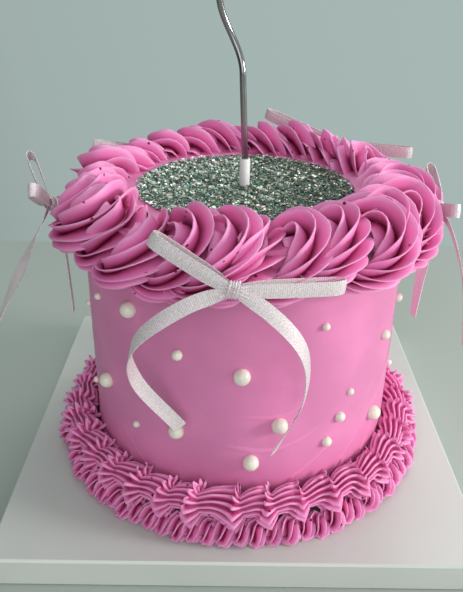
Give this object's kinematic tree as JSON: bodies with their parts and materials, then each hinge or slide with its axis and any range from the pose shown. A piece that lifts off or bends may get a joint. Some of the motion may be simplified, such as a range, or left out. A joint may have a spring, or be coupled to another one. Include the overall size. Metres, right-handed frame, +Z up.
{
  "type": "sponge cake on stand",
  "caption": "Tall round buttercream cake on a square board, with piped swirl borders, sugar pearls, glitter top, ribbon bows and a wavy candle in its holder.",
  "frame": {"origin": "on the underside of the board, below the middle of the cake", "axes": "+Z up, -Y to the front of the cake, where the main bow is, +X to its right as seen from the front"},
  "size_m": [0.2322, 0.223, 0.2833],
  "materials": {
    "board": "smooth white laminated drum board",
    "buttercream": "smooth pink buttercream, scraped, with pearls",
    "piping": "piped pink buttercream, satin, deep ridges",
    "glitter": "fine silver-green edible glitter",
    "holder": "white moulded",
    "candle": "metallic silver lacquer on wax",
    "wick": "waxed cotton",
    "ribbon": "woven iridescent silvery-cream satin"
  },
  "bodies": {
    "root": {"cake_board": "board", "cake_body": "buttercream", "border_top": "piping", "border_foot_upper": "piping", "border_foot_lower": "piping", "glitter_top": "glitter", "candle_holder": "holder", "candle": "candle", "candle_wick": "wick", "bow_front": "ribbon", "bow_right": "ribbon", "bow_back_right": "ribbon", "bow_back_left": "ribbon", "bow_left": "ribbon"}
  },
  "joints": []
}
